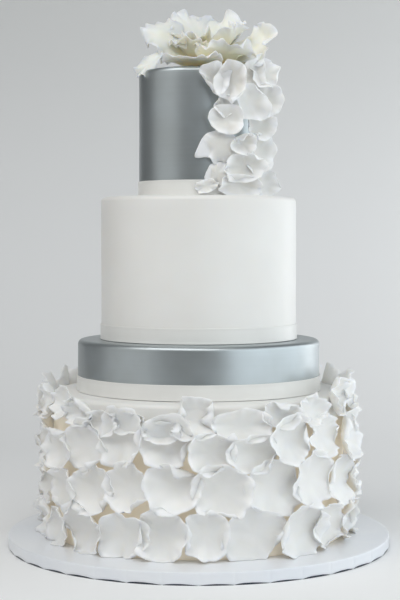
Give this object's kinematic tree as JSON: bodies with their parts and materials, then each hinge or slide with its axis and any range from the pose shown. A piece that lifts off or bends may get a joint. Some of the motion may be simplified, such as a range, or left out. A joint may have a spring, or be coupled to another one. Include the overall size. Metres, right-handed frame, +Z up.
{
  "type": "tiered wedding cake",
  "caption": "Tiered wedding cake on a wrapped round board: white and pearl grey tiers, satin ribbons, a skirt and cascade of sugar petals and a large open sugar flower.",
  "frame": {"origin": "centre of the board's underside, on the surface it rests on", "axes": "+Z up through the middle of the tiers, front of the cake towards -Y"},
  "size_m": [0.4057, 0.406, 0.5671],
  "materials": {
    "board_wrap": "satin white wrapped board",
    "white_icing": "smooth white sugar paste icing",
    "pearl_icing": "brushed pearl lustre over grey sugar paste",
    "satin_ribbon": "ivory satin",
    "sugar_petal": "soft matt sugar paste petals"
  },
  "bodies": {
    "root": {"cake_board": "board_wrap", "cascade_petal_01": "sugar_petal", "cascade_petal_02": "sugar_petal", "cascade_petal_03": "sugar_petal", "cascade_petal_04": "sugar_petal", "cascade_petal_05": "sugar_petal", "cascade_petal_06": "sugar_petal", "cascade_petal_07": "sugar_petal", "cascade_petal_08": "sugar_petal", "cascade_petal_09": "sugar_petal", "cascade_petal_10": "sugar_petal", "cascade_petal_11": "sugar_petal", "cascade_petal_12": "sugar_petal", "cascade_petal_13": "sugar_petal", "cascade_petal_14": "sugar_petal", "cascade_petal_15": "sugar_petal", "cascade_petal_16": "sugar_petal", "cascade_petal_17": "sugar_petal", "edge_petal": "sugar_petal", "flower_bud": "sugar_petal", "flower_inner_1": "sugar_petal", "flower_inner_2": "sugar_petal", "flower_inner_3": "sugar_petal", "flower_inner_4": "sugar_petal", "flower_low_1": "sugar_petal", "flower_low_2": "sugar_petal", "flower_low_3": "sugar_petal", "flower_low_4": "sugar_petal", "flower_low_5": "sugar_petal", "flower_low_6": "sugar_petal", "flower_open_1": "sugar_petal", "flower_open_2": "sugar_petal", "flower_open_3": "sugar_petal", "flower_open_4": "sugar_petal", "flower_open_5": "sugar_petal", "flower_open_6": "sugar_petal", "petal_row_1": "sugar_petal", "petal_row_2": "sugar_petal", "petal_row_3": "sugar_petal", "petal_row_4": "sugar_petal", "ribbon_2": "satin_ribbon", "ribbon_3": "satin_ribbon", "ribbon_4": "satin_ribbon", "tier_1": "white_icing", "tier_2": "pearl_icing", "tier_3": "white_icing", "tier_4": "pearl_icing"}
  },
  "joints": []
}
